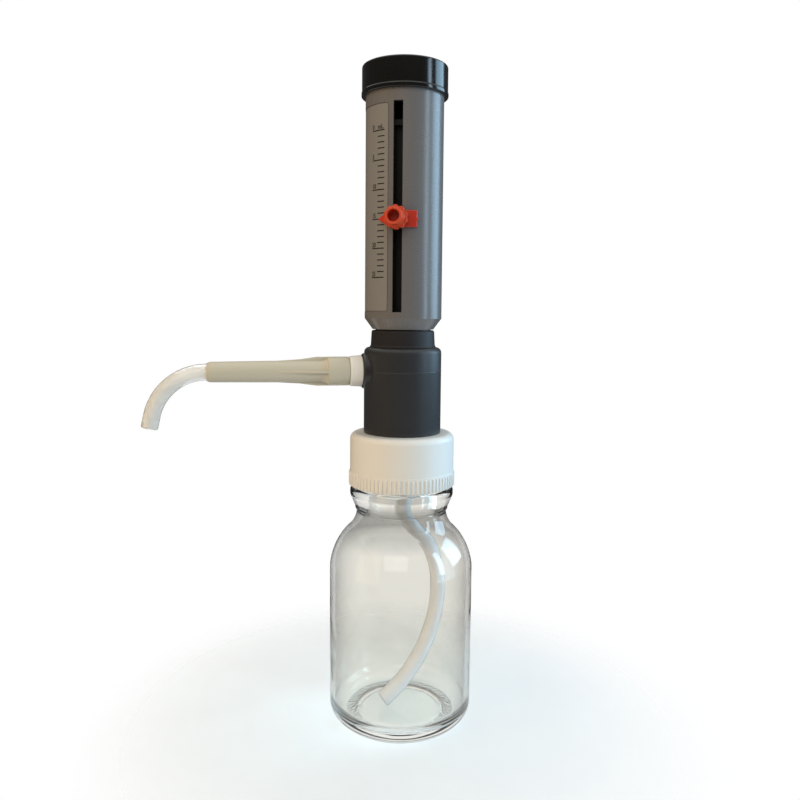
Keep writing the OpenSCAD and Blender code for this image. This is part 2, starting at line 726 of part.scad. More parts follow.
// Curved patch on the sleeve with rounded corners, from the slot towards the left
module sleeve_patch(inner_r, outer_r, corner) {
    height = label_top_z - label_bottom_z;
    at_slot(label_bottom_z) difference() {
        rotate([0, 0, -label_start - label_arc]) rotate_extrude(angle = label_arc)
            translate([inner_r, 0]) square([outer_r - inner_r, height]);
        for (near = [0, 1], top = [0, 1])
            rotate([0, 0, -label_start - label_arc * near])
                mirror([0, near, 0]) translate([0, 0, top * height]) mirror([0, 0, top])
                    translate([0, -corner, 0]) difference() {
                        translate([inner_r - 1, 0, -1]) cube([4, corner + 1, corner + 1]);
                        translate([0, 0, corner]) rotate([0, 90, 0]) cylinder(r = corner, h = 30);
                    }
    }
}

module sleeve() {
    web_hole_r = spigot_r + run_gap / 2;
    foot_r = sleeve_foot_d / 2;
    color([0.5, 0.51, 0.53]) difference() {
        revolve([[web_hole_r, web_z], [sleeve_in_r, web_z],
            [sleeve_in_r, sleeve_z + sleeve_taper_h + 1.5], [lip_r, sleeve_z + sleeve_taper_h - 1.5],
            [lip_r, sleeve_z], [foot_r, sleeve_z], [sleeve_r, sleeve_z + sleeve_taper_h],
            [sleeve_r, sleeve_top_z], [sleeve_in_r, sleeve_top_z],
            [sleeve_in_r, web_z + web_t], [web_hole_r, web_z + web_t]]);
        at_slot(slot_bottom_z) translate([sleeve_in_r - 1, -slot_w / 2, 0])
            cube([sleeve_wall + 3, slot_w, slot_top_z - slot_bottom_z]);
        sleeve_patch(sleeve_r - label_t - 0.1, sleeve_r + 1, 1.4);
    }
}

module scale_label() {
    color([0.72, 0.73, 0.74]) sleeve_patch(sleeve_r - label_t - 0.1, sleeve_r - 0.1, 1.4);
}

// Cap on top of the sleeve: flat, with a raised disc and a narrow lip round its foot
module top_cap() {
    cap_r = top_cap_d / 2;
    color([0.06, 0.06, 0.07]) difference() {
        revolve(concat(
            [[0, top_cap_z], [cap_r - 0.4, top_cap_z], [cap_r, top_cap_z + 0.4],
                [cap_r, top_cap_z + 1.7], [cap_r - 0.25, top_cap_z + 2]],
            arc(cap_r - 1.05, top_cap_top_z - 1.1, 0.8, 0, 90, 5),
            [[cap_r - 4, top_cap_top_z - 0.3], [cap_r - 4.3, top_cap_top_z], [0, top_cap_top_z]]));
        translate([0, 0, top_cap_z - 1]) cylinder(r = sleeve_r, h = sleeve_top_z - top_cap_z + 1);
    }
}

// Stop block: a shoe inside the sleeve, a key in the slot and the clamp stud
module stop_block() {
    key_w = slot_w - 2 * run_gap;
    color([0.85, 0.3, 0.12]) at_slot(pointer_z) {
        intersection() {
            ring(stop_in_x, stop_out_x, -stop_h / 2, stop_h / 2);
            translate([0, -4.5, -stop_h]) cube([sleeve_r, 9, 2 * stop_h]);
        }
        translate([stop_out_x - 0.5, -key_w / 2, -stop_h / 2])
            cube([plate_in_r - stop_out_x + 0.4, key_w, stop_h]);
        translate([stop_out_x, 0, 0]) rotate([0, 90, 0]) cylinder(d = stud_d, h = stud_end_x - stop_out_x);
    }
}

// Pointer plate: bent round the sleeve, with its tip at the scale
module pointer_plate() {
    half_h = plate_h / 2;
    color([0.8, 0.2, 0.08]) at_slot(pointer_z) difference() {
        intersection() {
            ring(plate_in_r, plate_r, -plate_h, plate_h);
            rotate([90, 0, 90]) linear_extrude(2 * sleeve_r) translate([0, -plate_drop])
                polygon([[-pointer_reach, 0], [-pointer_reach + 5.6, half_h], [plate_reach, half_h],
                    [plate_reach, 0.8], [plate_reach + 0.8, 0], [plate_reach, -0.8],
                    [plate_reach, -half_h], [-pointer_reach + 5.6, -half_h]]);
        }
        translate([sleeve_in_r, 0, 0]) rotate([0, 90, 0]) cylinder(d = stud_d, h = sleeve_r);
    }
}

// Knob: a lobed rim with a hollow face ring, screwed onto the stud
module clamp_knob() {
    lobe_r = knob_d * 0.5;
    color([0.93, 0.35, 0.13]) at_slot(pointer_z) translate([knob_x, 0, 0]) rotate([0, 90, 0])
        difference() {
            union() {
                linear_extrude(knob_rim_t) difference() {
                    circle(r = lobe_r);
                    for (i = [0:knob_lobes - 1])
                        rotate([0, 0, (i + 0.5) * 360 / knob_lobes])
                            translate([lobe_r + 0.75, 0]) circle(r = 1.3, $fn = 24);
                }
                translate([0, 0, knob_rim_t]) cylinder(d1 = knob_face_d + 1, d2 = knob_face_d, h = 0.8);
                cylinder(d = knob_face_d, h = knob_rim_t + knob_face_h);
            }
            translate([0, 0, -1]) cylinder(r = stud_d / 2 + run_gap / 2, h = knob_floor + 0.4);
            translate([0, 0, knob_floor]) cylinder(d = knob_hollow_d, h = knob_rim_t + knob_face_h);
        }
}

bottle();
neck_gasket();
screw_cap();
cap_retainer();
valve_block();
intake_valve_body();
intake_valve_seat();
intake_ball();
intake_cage();
dip_tube();
outlet_valve_seat();
outlet_ball();
outlet_spring();
outlet_cage();
outlet_seal();
union_nut();
nozzle_insert();
nozzle_housing();
jet_tube();
cylinder_seal();
cylinder_collar();
guide_tube();
glass_cylinder();
stop_ring();
piston();
piston_rings();
piston_rod();
rod_washer();
rod_nut();
sleeve();
scale_label();
top_cap();
stop_block();
pointer_plate();
clamp_knob();
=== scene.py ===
import json
import math
import bmesh
import bpy
from mathutils import Matrix, Vector


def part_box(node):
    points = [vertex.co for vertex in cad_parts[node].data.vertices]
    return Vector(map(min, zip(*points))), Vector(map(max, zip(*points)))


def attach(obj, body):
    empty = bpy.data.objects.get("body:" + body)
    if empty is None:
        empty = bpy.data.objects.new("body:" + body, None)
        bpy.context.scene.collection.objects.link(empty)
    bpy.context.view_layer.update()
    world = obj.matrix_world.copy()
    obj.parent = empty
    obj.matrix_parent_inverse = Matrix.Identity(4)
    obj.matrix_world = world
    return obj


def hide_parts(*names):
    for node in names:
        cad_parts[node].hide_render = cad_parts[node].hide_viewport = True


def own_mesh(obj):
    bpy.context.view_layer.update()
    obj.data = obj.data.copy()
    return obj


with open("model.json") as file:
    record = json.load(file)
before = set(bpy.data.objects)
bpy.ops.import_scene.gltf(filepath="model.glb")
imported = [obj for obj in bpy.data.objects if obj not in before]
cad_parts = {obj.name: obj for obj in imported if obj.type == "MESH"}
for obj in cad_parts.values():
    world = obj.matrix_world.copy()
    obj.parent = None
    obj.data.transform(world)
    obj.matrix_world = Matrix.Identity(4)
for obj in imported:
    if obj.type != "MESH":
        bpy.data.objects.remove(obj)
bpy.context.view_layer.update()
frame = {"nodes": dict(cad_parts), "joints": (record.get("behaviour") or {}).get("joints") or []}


# ---------------------------------------------------------------------------
# Bottle: a reagent bottle of clear borosilicate glass, blown in a mould and
# annealed. The heel is thick, the base has a punt with a stippled ring, and
# the ring under the thread is pressed with the finish.


def size_of(node):
    """Half width across Y, lowest and highest Z of a CAD node, in millimetres."""
    low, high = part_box(node)
    return (high.y - low.y) * 500, low.z * 1000, high.z * 1000


def eased(bm, geom, size, segments, affect="EDGES", **settings):
    """Edges, or a flat outline's corners, rounded off by size."""
    return bmesh.ops.bevel(bm, geom=geom, offset=size, offset_type="OFFSET", affect=affect,
                           segments=segments, profile=0.5, material=-1, **settings)


def lathe(outline, steps=128, segments=6):
    """A closed outline of (radius, height, corner round), turned about Z.

    Corners with a round of 3 mm or more get three times the segments.
    """
    bm = bmesh.new()
    corners = [bm.verts.new((point[0], 0, point[1])) for point in outline]
    bm.faces.new(corners)
    for size in sorted({point[2] for point in outline if len(point) > 2}):
        chosen = [v for v, point in zip(corners, outline) if len(point) > 2 and point[2] == size]
        eased(bm, chosen, size, segments if size < 3 else 3 * segments, "VERTICES")
    bmesh.ops.delete(bm, geom=bm.faces[:], context="FACES_ONLY")
    axial = [e for e in bm.edges if all(abs(v.co.x) < 1e-6 for v in e.verts)]
    bmesh.ops.delete(bm, geom=axial, context="EDGES")
    bmesh.ops.spin(bm, geom=bm.verts[:] + bm.edges[:], cent=(0, 0, 0), axis=(0, 0, 1),
                   angle=math.tau, steps=steps, use_merge=True)
    bmesh.ops.remove_doubles(bm, verts=bm.verts, dist=1e-4)
    bmesh.ops.recalc_face_normals(bm, faces=bm.faces)
    return bm


def finished(name, bm, material, body, stands_for=(), sharp=35):
    """The millimetre mesh bm as a finished piece in metres, riding on its body."""
    bmesh.ops.scale(bm, vec=(0.001, 0.001, 0.001), verts=bm.verts)
    mesh = bpy.data.meshes.new(name)
    bm.to_mesh(mesh)
    bm.free()
    mesh.shade_smooth()
    mesh.set_sharp_from_angle(angle=math.radians(sharp))
    mesh.materials.append(material)
    made = bpy.data.objects.new(name, mesh)
    bpy.context.scene.collection.objects.link(made)
    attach(made, body)
    if stands_for:
        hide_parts(*stands_for)
    return made


class Flow:
    """One socket of a shader. Arithmetic on it adds Math nodes."""

    def __init__(self, tree, socket=None):
        self.tree = tree
        self.socket = socket

    def add(self, kind, settings=None, inputs=None, out=0):
        """A new node with its settings and inputs, as one of its outputs."""
        node = self.tree.nodes.new(kind)
        for key, value in (settings or {}).items():
            setattr(node, key, value)
        for key, value in (inputs or {}).items():
            if isinstance(value, Flow):
                self.tree.links.new(value.socket, node.inputs[key])
            else:
                node.inputs[key].default_value = value
        return Flow(self.tree, node.outputs[out])

    def _math(self, operation, first, second):
        return self.add("ShaderNodeMath", {"operation": operation}, {0: first, 1: second})

    def __add__(self, other):
        return self._math("ADD", self, other)

    def __radd__(self, other):
        return self._math("ADD", other, self)

    def __rsub__(self, other):
        return self._math("SUBTRACT", other, self)

    def __mul__(self, other):
        return self._math("MULTIPLY", self, other)

    def __rmul__(self, other):
        return self._math("MULTIPLY", other, self)


def tint(red, green, blue, share=1.0):
    """A screen colour of 0 to 255 as a linear one."""
    return tuple(((c / 255 + 0.055) / 1.055) ** 2.4 * share if c > 10 else c / 255 / 12.92 * share
                 for c in (red, green, blue)) + (1.0,)


def finish(name, **constants):
    """A new material: its flow of Object coordinates and a way to feed its shader."""
    material = bpy.data.materials.new(name)
    material.use_nodes = True
    shader = material.node_tree.nodes["Principled BSDF"]
    for socket, value in constants.items():
        shader.inputs[socket.replace("_", " ")].default_value = value
    place = Flow(material.node_tree).add("ShaderNodeTexCoord", out="Object")

    def feed(socket, flow):
        material.node_tree.links.new(flow.socket, shader.inputs[socket])

    return material, place, feed


def noise(place, scale, detail=2.0, roughness=0.5):
    """Soft noise from 0 to 1, with about scale spots to the metre."""
    return place.add("ShaderNodeTexNoise", {}, {"Vector": place, "Scale": scale, "Detail": detail,
                                                "Roughness": roughness}, out="Fac")


def axes(place):
    """X, Y and Z of a place, in metres."""
    return [place.add("ShaderNodeSeparateXYZ", {}, {0: place}, out=i) for i in range(3)]


def blend(first, second, share):
    """Mix of two colours by a share from 0 to 1."""
    return share.add("ShaderNodeMix", {"data_type": "RGBA"}, {0: share, 6: first, 7: second}, out=2)


def ramp(flow, low, high):
    """0 below low, 1 above high, smooth between."""
    return flow.add("ShaderNodeMapRange", {"interpolation_type": "SMOOTHSTEP"},
                    {"Value": flow, "From Min": low, "From Max": high})


def relief(height, depth):
    """A bump whose full height is depth, in metres."""
    return height.add("ShaderNodeBump", {}, {"Height": height, "Distance": depth, "Strength": 1.0})


def blown_glass(name, colour, of_bottle=False):
    """Clear glass with painted shade towards grazing angles, a little wavy and smeared.

    The bottle's has a band of painted shade over its shoulder, and is stippled under its foot.
    """
    material, place, feed = finish(name, Transmission_Weight=1.0, IOR=1.49, Specular_IOR_Level=0.5)
    smears = ramp(noise(place, 45, 4), 0.52, 0.72)
    grazing = place.add("ShaderNodeLayerWeight", {}, {"Blend": 0.5}, out="Facing")
    smears_and_shoulder_shade = 0.1 * smears
    waves = noise(place, 28, 1) + 0.35 * noise(place, 75, 1)
    if of_bottle:
        x, y, z = axes(place)
        # Painted shade: a darker band over the shoulder, from about 88 to 114 mm up; the smears darken the
        # glass a little everywhere.
        smears_and_shoulder_shade = smears_and_shoulder_shade + ramp(z, 0.088, 0.097) * (1 - ramp(z, 0.109, 0.114))
        square = x * x + y * y
        stippled = ramp(square, 0.0205 ** 2, 0.0215 ** 2) * (1 - ramp(square, 0.0265 ** 2, 0.0275 ** 2))
        under = 1 - ramp(z, 0.0015, 0.003)
        dots = place.add("ShaderNodeTexVoronoi", {}, {"Vector": place, "Scale": 900.0}, out="Distance")
        waves = waves + 1.2 * stippled * under * dots
    clear = blend(tint(*colour), tint(*colour, share=0.7), smears_and_shoulder_shade)
    # Painted shade: the colour goes grey towards grazing angles, for the dark edges of the glass.
    feed("Base Color", blend(clear, tint(117, 117, 117), ramp(grazing, 0.2, 1.2)))
    feed("Roughness", 0.012 + 0.045 * smears)
    feed("Normal", relief(waves, 0.00035))
    return material


clear_glass = blown_glass("clear_glass", (242, 241, 236), of_bottle=True)

bottle_r, _, mouth_z = size_of("bottle")
finish_h = 31.7
shoulder_h = 28.3
neck_r = 21.9
neck_z = mouth_z - finish_h
shoulder_z = neck_z - shoulder_h
ring_r = 25.2
ring_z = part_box("screw_cap")[0].z * 1000 - 1.4
finish_r = 22.2
bore_r = 15.5
glass_t = 2.4
floor_t = 3.6
punt_h = 2.2
punt_r = 19.5
stand_r = 23.2
heel_r = 10.0
bead_t = 0.75
shoulder_out_r = 25.3
shoulder_in_r = 11.9
half_turn = math.asin(shoulder_h / (shoulder_out_r + shoulder_in_r)) / 2


def shoulder(inset):
    """Two corners of the shoulder, with the cut that each bend takes."""
    out_cut = (shoulder_out_r - inset) * math.tan(half_turn)
    in_cut = (shoulder_in_r + inset) * math.tan(half_turn)
    return [(bottle_r - inset, shoulder_z + out_cut, out_cut - 0.01),
            (neck_r - inset, neck_z - in_cut, in_cut - 0.01)]


glass = lathe([
    (0, punt_h + 0.3), (punt_r, punt_h, 2.0), (stand_r, 0, 1.4), (bottle_r, 0, heel_r),
    *shoulder(0),
    (neck_r, neck_z + 0.4, 0.3), (neck_r + bead_t, neck_z + 0.9, 0.3), (neck_r + bead_t, neck_z + 1.9, 0.3),
    (ring_r, ring_z - 3.2, 0.6), (ring_r, ring_z, 1.2), (finish_r, ring_z, 0.5),
    (finish_r, mouth_z, 1.2), (bore_r, mouth_z, 1.2), (bore_r, neck_z + 8, 2.5),
    *reversed(shoulder(glass_t)),
    (bottle_r - glass_t, punt_h + floor_t, heel_r - glass_t), (punt_r + 0.5, punt_h + floor_t, 3.0),
    (0, punt_h + floor_t - 0.5)], steps=160)
bottle = finished("bottle_glass", glass, clear_glass, "bottle", ["bottle"], sharp=60)
# Clear glass lets the light through, so its shadow is left off.
bottle.visible_shadow = False


# ---------------------------------------------------------------------------
# Neck gasket: a flat ring of white fluoropolymer, cut from sheet. It lies on
# the mouth, and the retaining nut's flange bears on it.


def dress(node, material):
    """A CAD node whose shape is right, in a material of its own."""
    slots = frame["nodes"][node].data.materials
    slots.clear()
    slots.append(material)


def moulded(name, colour, roughness, mottle=0.06, grain=0.000012, **constants):
    """Injection moulded plastic: faint flow marks, a fine spark grain, light scuffs."""
    material, place, feed = finish(name, **constants)
    flow_marks = noise(place, 55, 3)
    spark = noise(place, 2600, 2, 0.6)
    scuffs = ramp(noise(place.add("ShaderNodeMapping", {}, {"Vector": place, "Scale": (1, 1, 0.12)}),
                        420, 4, 0.7), 0.6, 0.8)
    shade = 0.6 * flow_marks + 0.4 * spark
    feed("Base Color", blend(tint(*colour, share=1 - mottle), tint(*colour, share=1 + mottle), shade))
    feed("Roughness", roughness - 0.05 + 0.08 * flow_marks + 0.07 * spark + 0.1 * scuffs)
    feed("Normal", relief(spark + 0.6 * scuffs, grain))
    return material


seal_white = moulded("seal_white", (228, 228, 222), 0.5, 0.04)
dress("neck_gasket", seal_white)


# ---------------------------------------------------------------------------
# Screw cap: moulded polypropylene. The skirt is smooth with a rounded top
# edge, and a band of 76 fine ribs at its foot gives the fingers their grip.

cap_white = moulded("cap_white", (227, 225, 219), 0.36, 0.03, Subsurface_Weight=0.06,
                    Subsurface_Radius=(0.002, 0.0018, 0.0015))
cap_rib_r, cap_low_z, cap_top_z = size_of("screw_cap")
cap_r = cap_rib_r - 0.6
band_r = cap_rib_r - 0.5
band_h = 6.8
cap_ribs = 76
cap_bore_r = 22.35
cap_hole_r = 17.1
cap_top_t = 2.4


def repeated(bm, geom, count):
    """A shape and its copies, evenly round Z."""
    bmesh.ops.spin(bm, geom=geom, cent=(0, 0, 0), axis=(0, 0, 1), use_duplicate=True,
                   angle=math.tau * (count - 1) / count, steps=count - 1)


cap = lathe([
    (cap_bore_r, cap_low_z, 0.3), (band_r, cap_low_z, 0.3), (band_r, cap_low_z + band_h + 0.3, 0.25),
    (cap_r, cap_low_z + band_h + 0.6, 0.2), (cap_r, cap_top_z, 3.0), (cap_hole_r, cap_top_z, 0.3),
    (cap_hole_r, cap_top_z - cap_top_t), (cap_bore_r, cap_top_z - cap_top_t, 0.8)], steps=152)
rib_block = (Matrix.Translation((band_r, 0, cap_low_z + band_h / 2 - 0.05))
             @ Matrix.Diagonal((0.96, 1.0, band_h - 0.5, 1)))
rib = bmesh.ops.create_cube(cap, size=1, matrix=rib_block)
rib_edges = list({e for v in rib["verts"] for e in v.link_edges})
rounded = eased(cap, rib_edges, 0.3, 2)
rib_verts = list({v for f in rounded["faces"] for v in f.verts})
rib_faces = list({f for v in rib_verts for f in v.link_faces})
rib_lines = list({e for f in rib_faces for e in f.edges})
repeated(cap, rib_verts + rib_lines + rib_faces, cap_ribs)
finished("screw_cap_shell", cap, cap_white, "screw_cap", ["screw_cap"])


# ---------------------------------------------------------------------------
# Retaining nut: moulded dark plastic. Its flange presses the gasket on the
# mouth, and its hub passes up through the cap and screws onto the block.

block_charcoal = moulded("block_charcoal", (44, 45, 47), 0.4, 0.1)
dress("cap_retainer", block_charcoal)


# ---------------------------------------------------------------------------
# Valve block: one moulding in charcoal plastic that carries both valves. It
# has a rounded shoulder, a mould line level with the outlet, and a boss.

block_r, block_low_z, block_top_z = size_of("valve_block")
outlet_z = sum(size_of("union_nut")[1:]) / 2
block_z = cap_top_z + 0.1
pocket_r = size_of("cylinder_seal")[0]
pocket_z = size_of("cylinder_seal")[1]
well_r = 7.0
plug_r = 8.0
plug_h = 24.0
neck_thread_r = 14.0
boss_r = 8.5
boss_root_u = 12.0
boss_u = 20.0
outlet_bore_r = 4.8
outlet_thread_r = 5.9
thread_u = -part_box("valve_block")[0].x * 1000
along_nozzle = Matrix.Translation((0, 0, outlet_z)) @ Matrix.Rotation(math.radians(-90), 4, "Y")


def turned_out(outline, steps=96):
    """An outline turned about the outlet's axis; heights run out along the nozzle."""
    bm = lathe(outline, steps)
    bmesh.ops.transform(bm, matrix=along_nozzle, verts=bm.verts)
    return bm


def joined(*parts):
    """Several meshes in one."""
    whole = bmesh.new()
    for part in parts:
        carrier = bpy.data.meshes.new("carrier")
        part.to_mesh(carrier)
        part.free()
        whole.from_mesh(carrier)
        bpy.data.meshes.remove(carrier)
    return whole


block = lathe([
    (plug_r, block_low_z, 0.2), (neck_thread_r, block_low_z, 0.4), (neck_thread_r, block_z),
    (block_r, block_z, 0.35),
    (block_r, outlet_z - 0.22, 0.05), (block_r + 0.1, outlet_z, 0.05), (block_r, outlet_z + 0.22, 0.05),
    (block_r, block_top_z, 2.5), (pocket_r, block_top_z, 0.2), (pocket_r, pocket_z),
    (well_r, pocket_z), (well_r, block_low_z + plug_h), (plug_r, block_low_z + plug_h)], steps=144)
boss = turned_out([
    (outlet_bore_r, boss_root_u), (boss_r, boss_root_u), (boss_r, boss_u, 0.9), (outlet_thread_r, boss_u),
    (outlet_thread_r, thread_u, 0.3), (outlet_bore_r, thread_u)])
finished("valve_block_body", joined(block, boss), block_charcoal, "head",
         ["valve_block"])


# ---------------------------------------------------------------------------
# Intake valve: a plug of ivory fluoropolymer screwed up into the block, with
# a ceramic seat, a glass ball and a slotted cage. The hose nipple is barbed.

valve_ivory = moulded("valve_ivory", (228, 225, 212), 0.45, 0.05)
valve_ceramic = moulded("valve_ceramic", (221, 216, 202), 0.22, 0.03, 0.000004)
valve_glass = blown_glass("valve_glass", (236, 242, 240))
dress("intake_valve_body", valve_ivory)
dress("intake_valve_seat", valve_ceramic)
dress("intake_ball", valve_glass)
dress("intake_cage", valve_ivory)


# ---------------------------------------------------------------------------
# Dip tube: a length of clear fluoropolymer tube, cut square and pushed onto
# the nipple. It keeps the bow it had on the reel and ends on the floor.


def polymer_tube(name, colour, clearness):
    """Extruded tube: milky, with die lines along it too fine to count, and painted shade along its edges.
    """
    material, place, feed = finish(name, Transmission_Weight=clearness, IOR=1.34,
                                   Subsurface_Weight=0.12, Subsurface_Radius=(0.002, 0.002, 0.002))
    haze = noise(place, 130, 3)
    lines = noise(place, 1500, 2)
    grazing = place.add("ShaderNodeLayerWeight", {}, {"Blend": 0.5}, out="Facing")
    milky = blend(tint(*colour, share=0.94), tint(*colour), haze)
    # Painted shade: the colour goes dark grey towards grazing angles, for the tube's dark edges.
    feed("Base Color", blend(milky, tint(62, 60, 56), ramp(grazing, 0.62, 1.0)))
    feed("Roughness", 0.14 + 0.12 * haze + 0.06 * lines)
    feed("Normal", relief(lines + haze, 0.00001))
    return material


def verts_of(geom):
    """The corners in what an operator made."""
    return [g for g in geom if isinstance(g, bmesh.types.BMVert)]


def edges_of(geom):
    """The edges in what an operator made."""
    return [g for g in geom if isinstance(g, bmesh.types.BMEdge)]


def drawn_out(bm, edges, way):
    """Rings of edges drawn straight along way; returns the edges at the far end."""
    drawn = bmesh.ops.extrude_edge_only(bm, edges=edges)["geom"]
    bmesh.ops.translate(bm, vec=way, verts=verts_of(drawn))
    return [e for e in edges_of(drawn) if e not in edges and len(e.link_faces) == 1]


def bent(bm, edges, centre, axis, angle, steps):
    """Rings of edges swept round a bend; returns the edges at the far end."""
    swept = bmesh.ops.spin(bm, geom=edges, cent=centre, axis=axis, angle=angle, steps=steps)
    return edges_of(swept["geom_last"])


def tube_start(outer_r, inner_r, height):
    """A bmesh with a tube's two rings at a height, and their edges."""
    bm = bmesh.new()
    for radius in (outer_r, inner_r):
        bmesh.ops.create_circle(bm, segments=48, radius=radius, matrix=Matrix.Translation((0, 0, height)))
    return bm, bm.edges[:]


def close_ends(bm, *ends):
    """Both cut ends of a tube closed with faces between its two rings."""
    for edges in ends:
        bmesh.ops.bridge_loops(bm, edges=edges)


tube_clear = polymer_tube("tube_clear", (245, 245, 246), 0.62)
tube_r = size_of("jet_tube")[0]
tube_bore_r = 3.0
dip_top_z = size_of("dip_tube")[2]
nipple_l = 13.5
dip_bend_z = dip_top_z - nipple_l
dip_bow_z = 63.8
dip_bow = 21.0
dip_drop = dip_bend_z - dip_bow_z
dip_bend_r = (dip_drop ** 2 + dip_bow ** 2) / (4 * dip_bow)
dip_angle = math.asin(dip_drop / 2 / dip_bend_r)
dip_low_r = 64.0
dip_gap = 0.3
dip_low_angle = math.asin((dip_bow_z - punt_h - floor_t - dip_gap) / (dip_low_r + tube_r))
dip_turn = Matrix.Rotation(math.radians(13), 3, "Z")

dip, top_edges = tube_start(tube_r, tube_bore_r, dip_top_z)
edges = drawn_out(dip, top_edges, (0, 0, -nipple_l))
edges = bent(dip, edges, (dip_bend_r, 0, dip_bend_z), (0, -1, 0), dip_angle, 14)
edges = bent(dip, edges, (dip_bow - dip_bend_r, 0, dip_bow_z), (0, 1, 0), dip_angle, 14)
edges = bent(dip, edges, (dip_bow - dip_low_r, 0, dip_bow_z), (0, 1, 0), dip_low_angle, 24)
close_ends(dip, top_edges, edges)
bmesh.ops.rotate(dip, cent=(0, 0, 0), matrix=dip_turn, verts=dip.verts)
bmesh.ops.recalc_face_normals(dip, faces=dip.faces)
finished("dip_tube_hose", dip, tube_clear, "head", ["dip_tube"])


# ---------------------------------------------------------------------------
# Outlet valve: the same parts turned on their side in the boss, with a light
# spring of stainless wire that holds the ball on its seat.

spring_steel, steel_place, steel_feed = finish("spring_steel", Metallic=1.0)
draw_marks = noise(steel_place, 3000, 3)
steel_feed("Base Color", blend(tint(176, 178, 180), tint(206, 207, 208), draw_marks))
steel_feed("Roughness", 0.2 + 0.15 * draw_marks)
dress("outlet_valve_seat", valve_ceramic)
dress("outlet_ball", valve_glass)
dress("outlet_cage", valve_ivory)
dress("outlet_seal", seal_white)
wire_r = 0.25
coil_turns = 5
coil_steps = 24 * coil_turns
coil_r = size_of("outlet_spring")[0] - wire_r
coil_low, coil_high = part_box("outlet_spring")
coil_length = (coil_high.x - coil_low.x) * 1000
coil_end = 1.05 * wire_r
coil_rise = (coil_length - 2 * coil_end) / coil_steps

coil = bmesh.new()
section = (Matrix.Translation((coil_r, 0, -coil_high.x * 1000 + coil_end))
           @ Matrix.Rotation(math.radians(90), 4, "X"))
bmesh.ops.create_circle(coil, segments=10, radius=wire_r, matrix=section)
first_ring = coil.edges[:]
wound = bmesh.ops.spin(coil, geom=first_ring, cent=(0, 0, 0), axis=(0, 0, 1), dvec=(0, 0, coil_rise),
                       angle=math.tau * coil_turns, steps=coil_steps)
for ring_edges in (first_ring, edges_of(wound["geom_last"])):
    bmesh.ops.edgeloop_fill(coil, edges=ring_edges)
bmesh.ops.transform(coil, matrix=along_nozzle, verts=coil.verts)
bmesh.ops.recalc_face_normals(coil, faces=coil.faces)
spring = finished("outlet_spring_coil", coil, spring_steel, "head", ["outlet_spring"],
                  sharp=60)
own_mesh(spring)


# ---------------------------------------------------------------------------
# Union nut: a small nut moulded in white plastic. It pulls the nozzle's
# flanged tail piece against the seal, and still lets the nozzle be turned.

union_white = moulded("union_white", (228, 226, 220), 0.4, 0.04)
union_r = size_of("union_nut")[0]
union_u = -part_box("union_nut")[1].x * 1000
union_end_u = -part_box("union_nut")[0].x * 1000
union_bore_r = 6.0
union_hole_r = 4.0
union_lip_t = 1.2

nut = turned_out([
    (union_bore_r, union_u, 0.2), (union_r, union_u, 0.6), (union_r - 0.45, union_end_u, 0.9),
    (union_hole_r, union_end_u, 0.2), (union_hole_r, union_end_u - union_lip_t),
    (union_bore_r, union_end_u - union_lip_t)])
finished("union_nut_ring", nut, union_white, "union_nut", ["union_nut"])


# ---------------------------------------------------------------------------
# Nozzle housing: one ivory moulding over the jet tube. From its collar four
# ribs run out along the barrel and die into it.

housing_ivory = moulded("housing_ivory", (196, 190, 170), 0.4, 0.05)
dress("nozzle_insert", valve_ivory)
housing_collar_r = size_of("nozzle_housing")[0]
housing_u = -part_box("nozzle_housing")[1].x * 1000
housing_end_u = -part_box("nozzle_housing")[0].x * 1000
housing_r = 5.1
free_end_r = 4.75
collar_u = housing_u + 10.3
rib_end_u = collar_u + 24.0
rib_r = housing_collar_r - 0.05
rib_half_t = 0.65


def thicken(bm, faces, way):
    """Flat faces grown along way into a solid."""
    grown = bmesh.ops.extrude_face_region(bm, geom=faces)["geom"]
    bmesh.ops.translate(bm, vec=way, verts=verts_of(grown))


housing = turned_out([
    (tube_r, housing_u), (housing_collar_r, housing_u, 0.5), (housing_collar_r, collar_u, 0.45),
    (housing_collar_r - 1, collar_u + 0.05, 0.2), (housing_r, collar_u + 2.5, 0.9),
    (housing_r, rib_end_u, 4.0), (free_end_r, housing_end_u - 1.4, 0.6),
    (free_end_r - 0.65, housing_end_u, 0.15), (tube_r, housing_end_u)])
ribs = bmesh.new()
side = [ribs.verts.new(corner) for corner in [
    (housing_r - 0.7, -rib_half_t, collar_u - 0.6), (rib_r, -rib_half_t, collar_u - 0.6),
    (rib_r, -rib_half_t, collar_u + 5), (rib_r * 0.35 + housing_r * 0.65, -rib_half_t, rib_end_u - 11),
    (housing_r - 0.05, -rib_half_t, rib_end_u), (housing_r - 0.7, -rib_half_t, rib_end_u)]]
thicken(ribs, [ribs.faces.new(side)], (0, 2 * rib_half_t, 0))
eased(ribs, ribs.edges[:], 0.28, 3, clamp_overlap=True)
bmesh.ops.recalc_face_normals(ribs, faces=ribs.faces)
repeated(ribs, ribs.verts[:] + ribs.edges[:] + ribs.faces[:], 4)
bmesh.ops.transform(ribs, matrix=along_nozzle, verts=ribs.verts)
finished("nozzle_housing_ribbed", joined(housing, ribs), housing_ivory, "nozzle",
         ["nozzle_housing"])


# ---------------------------------------------------------------------------
# Jet tube: a length of the dip tube's fluoropolymer tube, formed hot to a
# bend that points the jet down. Its tip is rounded, so no drop hangs on it.

jet_milky = polymer_tube("jet_milky", (250, 248, 243), 0.58)
jet_hidden_l = 56.0
jet_bend_r = 25.0
jet_angle = math.radians(78)
jet_tip_l = 5.9

